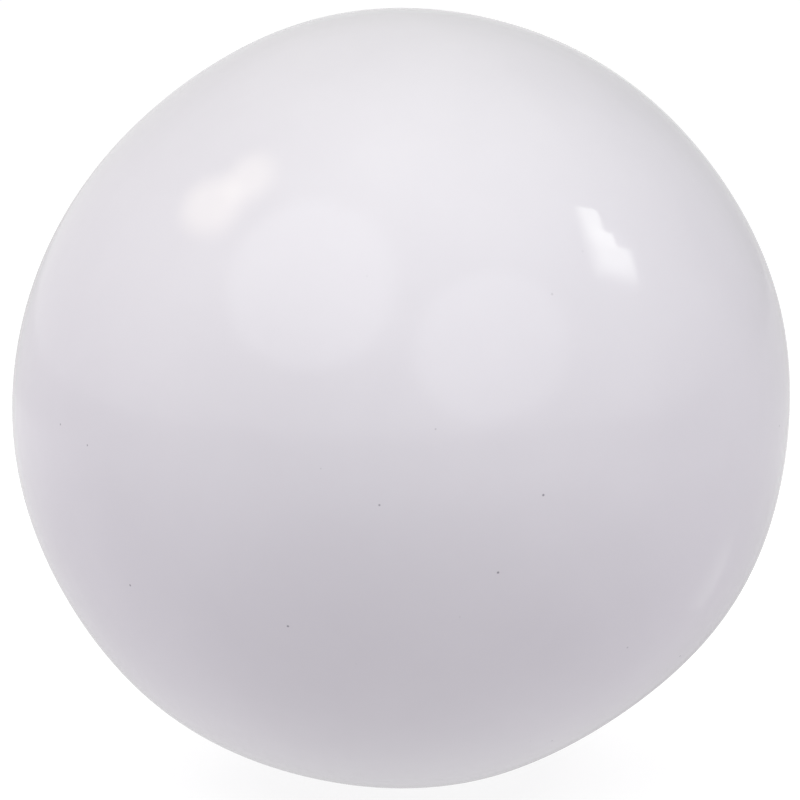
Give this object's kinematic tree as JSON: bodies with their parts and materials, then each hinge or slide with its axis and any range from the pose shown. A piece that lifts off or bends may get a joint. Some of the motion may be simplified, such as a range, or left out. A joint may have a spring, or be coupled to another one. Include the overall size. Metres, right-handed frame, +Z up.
{
  "type": "exercise ball",
  "caption": "Inflatable round exercise ball with a smooth hollow vinyl skin, a thick moulded valve pad, a valve bush and a push-in barbed stopper plug.",
  "frame": {"origin": "middle of the small flat that the ball rests on, at floor level", "axes": "+Z up through the ball's centre, +Y out along the valve's axis, -Y towards the viewer of the picture"},
  "size_m": [0.65, 0.6506, 0.6468],
  "materials": {
    "soft_vinyl": "satin",
    "valve_rubber": "satin",
    "plug_plastic": "satin"
  },
  "bodies": {
    "ball": {"ball_skin": "soft_vinyl", "valve_bush": "valve_rubber"},
    "plug": {"valve_plug": "plug_plastic"}
  },
  "joints": [
    {"name": "plug_pull", "type": "slide", "parent": "ball", "child": "plug", "axis": [0, 1, 0], "range_m": [0, 0.04]}
  ]
}
